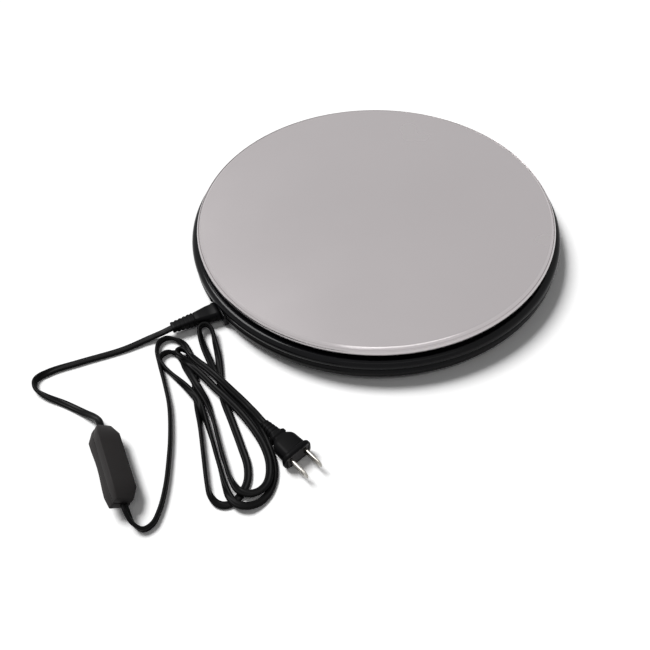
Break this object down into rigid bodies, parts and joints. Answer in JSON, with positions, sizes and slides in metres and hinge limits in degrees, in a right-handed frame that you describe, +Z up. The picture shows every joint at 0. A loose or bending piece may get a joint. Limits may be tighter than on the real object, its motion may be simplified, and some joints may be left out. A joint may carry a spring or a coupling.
{
  "type": "motorised pottery banding wheel",
  "caption": "Low motorised turntable with a large flat metal platter on a round gloss base, a detachable mains connector, an inline switch and a folded flat cord with a two-blade plug.",
  "frame": {"origin": "on the platter's axis, at the surface that the feet stand on", "axes": "+Z up along the platter's axis; the connector leaves the base at 204 degrees from +X, towards -X"},
  "size_m": [0.4319, 0.4291, 0.032],
  "materials": {
    "gloss_black": "gloss",
    "satin_black": "satin",
    "cord_black": "satin",
    "switch_black": "fine texture",
    "rubber": "matt",
    "aluminium": "satin, anodised",
    "steel": "turned",
    "zinc_steel": "zinc plated",
    "nickel": "nickel plated",
    "white_plastic": "plain",
    "lead_blue": "plain",
    "lead_brown": "plain"
  },
  "bodies": {
    "base": {"base_pan": "gloss_black", "top_cover": "gloss_black", "foot_1": "rubber", "foot_2": "rubber", "foot_3": "rubber", "foot_4": "rubber", "cover_screw_1": "zinc_steel", "cover_screw_2": "zinc_steel", "cover_screw_3": "zinc_steel", "cover_screw_4": "zinc_steel", "roller_axle_1": "steel", "roller_axle_2": "steel", "roller_axle_3": "steel", "roller_axle_4": "steel", "spindle": "steel", "spindle_clip": "zinc_steel", "lower_race": "steel", "motor_can": "zinc_steel", "motor_gearbox": "zinc_steel", "motor_screw_1": "zinc_steel", "motor_screw_2": "zinc_steel", "inlet_body": "satin_black", "inlet_pin_1": "nickel", "inlet_pin_2": "nickel", "motor_lead_1": "lead_blue", "motor_lead_2": "lead_brown", "connector_body": "satin_black", "connector_relief": "satin_black", "switch_upper_shell": "switch_black", "switch_lower_shell": "switch_black", "switch_screw": "zinc_steel", "plug_body": "satin_black", "plug_blade_1": "nickel", "plug_blade_2": "nickel", "cord_to_switch": "cord_black", "cord_to_hank": "cord_black", "cord_hank": "cord_black", "cord_to_plug": "cord_black"},
    "platter": {"platter": "aluminium", "drive_disc": "white_plastic", "drive_screw_1": "zinc_steel", "drive_screw_2": "zinc_steel", "drive_screw_3": "zinc_steel", "upper_race": "steel"},
    "bearing_cage": {"ball_cage": "nickel"},
    "drive_wheel": {"motor_shaft": "steel", "drive_wheel": "white_plastic", "drive_tyre": "rubber"},
    "roller_1": {"roller_1": "rubber"},
    "roller_2": {"roller_2": "rubber"},
    "roller_3": {"roller_3": "rubber"},
    "roller_4": {"roller_4": "rubber"},
    "rocker": {"switch_rocker": "satin_black"}
  },
  "joints": [
    {"name": "platter_spin", "type": "hinge", "parent": "base", "child": "platter", "pos_m": [0, 0, 0.032], "axis": [0, 0, 1], "continuous": true},
    {"name": "cage_spin", "type": "hinge", "parent": "base", "child": "bearing_cage", "pos_m": [0, 0, 0.0247], "axis": [0, 0, 1], "continuous": true},
    {"name": "wheel_spin", "type": "hinge", "parent": "base", "child": "drive_wheel", "pos_m": [0.02685, 0.04651, 0.025], "axis": [0, 0, 1], "continuous": true},
    {"name": "roller_1_spin", "type": "hinge", "parent": "base", "child": "roller_1", "pos_m": [0.12074, 0.03235, 0.025], "axis": [0.9659, 0.2588, 0], "continuous": true},
    {"name": "roller_2_spin", "type": "hinge", "parent": "base", "child": "roller_2", "pos_m": [-0.03235, 0.12074, 0.025], "axis": [-0.2588, 0.9659, 0], "continuous": true},
    {"name": "roller_3_spin", "type": "hinge", "parent": "base", "child": "roller_3", "pos_m": [-0.12074, -0.03235, 0.025], "axis": [-0.9659, -0.2588, 0], "continuous": true},
    {"name": "roller_4_spin", "type": "hinge", "parent": "base", "child": "roller_4", "pos_m": [0.03235, -0.12074, 0.025], "axis": [0.2588, -0.9659, 0], "continuous": true},
    {"name": "switch_rock", "type": "hinge", "parent": "base", "child": "rocker", "pos_m": [-0.20091, -0.22575, 0.00899], "axis": [-0.7127, -0.2808, 0.6428], "range_deg": [-16, 0]}
  ],
  "couplings": [
    {"joint": "cage_spin", "follows": "platter_spin", "ratio": 0.5},
    {"joint": "wheel_spin", "follows": "platter_spin", "ratio": 7},
    {"joint": "roller_1_spin", "follows": "platter_spin", "ratio": -29.762},
    {"joint": "roller_2_spin", "follows": "platter_spin", "ratio": -29.762},
    {"joint": "roller_3_spin", "follows": "platter_spin", "ratio": -29.762},
    {"joint": "roller_4_spin", "follows": "platter_spin", "ratio": -29.762}
  ]
}
